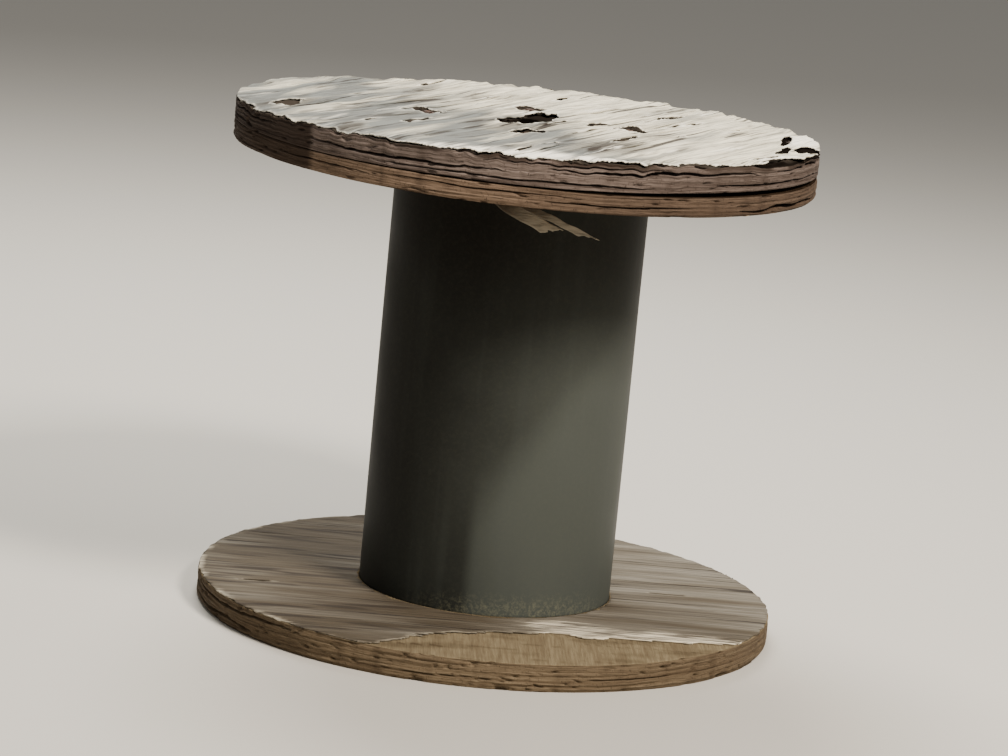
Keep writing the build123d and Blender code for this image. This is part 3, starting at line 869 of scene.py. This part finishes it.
def top_level(x, y, torn):
    """Level of the sheet: on the buckled plies, with edges curled up here and there where torn,
    most at the right tip and the right front."""
    curls = curled_tips(x, y) + 0.7 * patch(x, y, 0.165, -0.470, 0.20, 0.050, 0)
    curls = curls + 0.5 * patch(x, y, -0.060, -0.490, 0.16, 0.040, 0)
    lifted = ramp(waves(x, y, 0.08, 0.08, 56), 0.2, 1.2) * ramp(torn, -0.5, 0)
    level = buckled_level(x, y) + 0.0045 * curls + 0.0030 * lifted
    return np.minimum(level, highest - 0.0002)


def top_marks(x, y, torn):
    """Silver-white wood at the back and right, cooler and greyer at the left, raw splinters along
    the torn edges and damp streaks along the grain. The front lip and the curls at the right are
    raw wood with a painted highlight on them."""
    u, v = grain_axes(x, y, top_grain)
    torn_edge = ramp(torn, -0.30, -0.03)
    shreds = np.clip(1.1 + 0.7 * waves(u, v, 0.20, 0.014, 69), 0.2, 1.5)
    # Raw wood along the front lip and at the curls, with a painted highlight laid on it.
    front_lip_raw_and_lit = ramp(-y - 0.25 * np.abs(x - 0.02), 0.38, 0.46) * shreds
    curled = np.minimum(1.6 * curled_tips(x, y), 1)
    back_right = ramp(0.85 * x + 0.50 * y, -0.20, 0.16)
    pale = 0.02 + 1.02 * back_right + (0.42 - 0.22 * back_right) * waves(u, v, 0.45, 0.060, 58)
    damp = 0.9 * ramp(waves(u, v, 0.22, 0.020, 59), 0.55, 1.15)
    damp = damp + 0.7 * ramp(waves(u, v, 0.35, 0.09, 60), 0.7, 1.4)
    damp = damp * (1 - 0.65 * back_right)
    for stain in (
        (-0.400, -0.090, 0.22, 0.09),
        (-0.010, -0.060, 0.34, 0.20),
        (0.130, -0.270, 0.30, 0.14),
        (-0.190, 0.120, 0.22, 0.06),
        (0.210, -0.080, 0.20, 0.08),
    ):
        damp = damp + 0.9 * patch(x, y, *stain, top_grain)
    dirt = damp * (1 - torn_edge) * (1 - np.minimum(front_lip_raw_and_lit, 1)) * (1 - curled)
    return {"raw": (0.5 + 0.4 * back_right) * torn_edge + front_lip_raw_and_lit + curled, "pale": pale, "dirt": dirt}


def top_rim(turn):
    """Radius of the sheet's rim: 1.6 mm in, and up to 3.5 mm more where seeded waves pass a limit."""
    worn = ramp(waves(turn * flange_radius, 0 * turn, 0.04, 1, 62), -0.5, 1.4)
    return flange_radius - 0.0016 - 0.0035 * worn


top_veneer = veneer_sheet(
    "top_face_veneer", top_grain, bar_hole_radius + 0.001, top_rim,
    top_torn, top_level, top_marks, scattered_cracks(64, 84, 0.20, 0.0044), 65,
    rotary_veneer("silvered_rotary_veneer", top_grain, "ebe3cb", "777a76", "4b463f", "fcf6e6"),
)
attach(top_veneer, "root")

# Bolts, washers and nuts.
# Four plain steel bolts with square heads clamp the flanges to the barrel. Each carries a square
# plate washer and a hexagon nut in a pocket of the top face, where standing rain has rusted them.

bolt_radius = 0.008
thread_pitch = 0.002
thread_depth = 0.0011
half_square = 0.019
half_hexagon = 0.012
washer_thickness = 0.003
head_foot, head_top = 0.011, 0.020
washer_level, nut_level, nut_top, bolt_end = 0.864, 0.867, 0.880, 0.882


def rusted_steel(name):
    """Plain forged steel rusted outdoors: matt brown scale with lighter orange blooms and dark
    pits a few millimetres wide, and a little bare metal between them."""
    material, tree, shader, place = start_material(name, 0.8, 0.5)
    scale = add_node(tree, "TexNoise", {"Vector": place, "Scale": 160.0, "Detail": 6.0, "Roughness": 0.7})
    blooms = add_node(tree, "TexNoise", {"Vector": place, "Scale": 60.0, "Detail": 3.0})
    tone = add_node(tree, "MapRange", {0: scale, 1: 0.35, 2: 0.65})
    bloom = add_node(tree, "MapRange", {0: blooms, 1: 0.55, 2: 0.70, 4: 0.5})
    metal = add_node(tree, "MapRange", {0: scale, 1: 0.60, 2: 0.30, 3: 0.1, 4: 0.6})
    tree.links.new(metal, shader.inputs["Metallic"])
    lay_coats(tree, shader, "2c1f19", [(tone, "4e3526"), (bloom, "7d4c2c")], scale, 0.6, 0.0008)
    return material


def many_sided(sides, turn, blunt):
    """Radius of a regular polygon whose flats lie at a distance of one: one over the cosine of the
    angle to the nearest flat's middle, up to its blunted corners."""
    width = 2 * math.pi / sides
    return np.minimum(1 / np.cos((rounds - turn + width / 2) % width - width / 2), blunt)


def down_rows(*values):
    """Values as one column, one to each row of a grid."""
    return np.array(values)[:, None]


def steel_piece(name, middle, radii, levels, node):
    """Piece from rings of points about its own upright middle line; rows run up the outside and
    close through the bore, or meet on the middle line and are merged there."""
    x, y = middle[0] + radii * np.cos(rounds), middle[1] + radii * np.sin(rounds)
    piece = ring_grid(name, [np.stack([x, y, levels + 0 * radii], -1)[::-1]], {}, [rust])
    shell = bmesh.new()
    shell.from_mesh(piece.data)
    bmesh.ops.remove_doubles(shell, verts=shell.verts, dist=1e-6)
    bmesh.ops.recalc_face_normals(shell, faces=shell.faces)
    shell.to_mesh(piece.data)
    shell.free()
    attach(piece, "root")
    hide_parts(node)


rust = rusted_steel("rusted_plain_steel")
rounds = around(72)
for number, heading in enumerate(bolt_headings, 1):
    middle = spot(heading, bolt_circle)
    turn = math.radians(23 * number)

    square = half_square * many_sided(4, turn, 1.33)
    head_share = down_rows(0, 0.5, 0.93, 1, 1, 0.97, 0.5)
    head_levels = head_foot + (head_top - head_foot) * down_rows(0, 0, 0, 0.1, 0.9, 1, 1)
    shank_levels = down_rows(head_top, 0.1, 0.5, 0.858)
    thread_levels = np.linspace(0.860, bolt_end - 0.0016, 66)[:, None]
    wound = np.abs((thread_levels / thread_pitch - rounds / (2 * math.pi)) % 1 - 0.5) * 2
    end_share = down_rows(0.88, 0.75, 0)
    end_levels = down_rows(bolt_end - 0.0004, bolt_end, bolt_end)
    bolt_radii = [head_share * square, bolt_radius + 0 * shank_levels * rounds]
    bolt_radii += [bolt_radius - thread_depth * wound, bolt_radius * end_share + 0 * rounds]
    radii = np.concatenate(bolt_radii)
    levels = np.concatenate([head_levels, shank_levels, thread_levels, end_levels])
    steel_piece(f"square_head_bolt_{number}", middle, radii, levels, f"tie_bolt_{number}")

    plate = half_square * many_sided(4, turn + 0.5, 1.36)
    share = down_rows(0, 0, 0.1, 0.55, 0.97, 1, 1, 0.97, 0.5, 0.1)
    rise = down_rows(0.2, 0.05, 0, 0, 0, 0.15, 0.85, 1, 1, 1)
    radii = (bolt_radius + 0.0004) * (1 - share) + plate * share
    levels = washer_level + washer_thickness * rise
    steel_piece(f"plate_washer_{number}", middle, radii, levels, f"top_washer_{number}")

    hexagon = half_hexagon * many_sided(6, turn + 0.9, 1.145)
    share = down_rows(0, 0, 0.12, 0.6, 0.93, 1, 1, 1, 0.93, 0.6, 0.12)
    rise = down_rows(0.9, 0.1, 0, 0, 0, 0.06, 0.5, 0.94, 1, 1, 1)
    radii = (bolt_radius - 0.0002) * (1 - share) + hexagon * share
    chamfer = 0.58 * np.maximum(radii - 0.0116, 0) * (2 * rise - 1)
    levels = nut_level + (nut_top - nut_level) * rise - chamfer
    steel_piece(f"hexagon_nut_{number}", middle, radii, levels, f"top_nut_{number}")

# Floor, light and camera.
# A pale floor, a soft light from the upper right in front and a broader one from behind, a pale
# surround that fills the shade, and the photograph's view, turned a little as the drum leans there.

floor_mesh = bpy.data.meshes.new("pale_floor")
floor_mesh.from_pydata([(-30, -30, 0), (30, -30, 0), (30, 30, 0), (-30, 30, 0)], [], [(0, 1, 2, 3)])
floor = bpy.data.objects.new("pale_floor", floor_mesh)
bpy.context.scene.collection.objects.link(floor)
floor_finish, _, floor_shader, _ = start_material("matt_pale_floor", 0.9, 0.2)
floor_shader.inputs["Base Color"].default_value = srgb("cbc7bf")
floor_mesh.materials.append(floor_finish)

world = bpy.data.worlds.new("soft_studio")
world.use_nodes = True
surround = world.node_tree.nodes["Background"]
surround.inputs["Color"].default_value = srgb("f2f1ee")
surround.inputs["Strength"].default_value = 0.32
bpy.context.scene.world = world


def soft_light(name, place, aim, width, power, colour):
    """Square area light at a place, turned to shine at a point."""
    light = bpy.data.lights.new(name, "AREA")
    light.shape = "SQUARE"
    light.size = width
    light.energy = power
    light.color = srgb(colour)[:3]
    holder = bpy.data.objects.new(name, light)
    holder.location = place
    holder.rotation_euler = (Vector(aim) - Vector(place)).to_track_quat("-Z", "Y").to_euler()
    bpy.context.scene.collection.objects.link(holder)


soft_light("key_light", (2.8, -3.2, 4.5), (0, 0, 0.6), 1.3, 570, "fff5e8")
soft_light("back_light", (-0.8, 3.0, 4.8), (0, 0, 0.8), 2.4, 450, "faf7f0")

camera_roll = 5.5
camera_data = bpy.data.cameras.new("camera")
camera_data.lens = 130
camera_data.sensor_width = 36
camera = bpy.data.objects.new("camera", camera_data)
camera.location = (0, -6.29, 1.63)
look = (Vector((0, 0, 0.425)) - camera.location).to_track_quat("-Z", "Y")
camera.rotation_mode = "QUATERNION"
camera.rotation_quaternion = look @ Matrix.Rotation(math.radians(camera_roll), 4, "Z").to_quaternion()
bpy.context.scene.collection.objects.link(camera)
bpy.context.scene.camera = camera
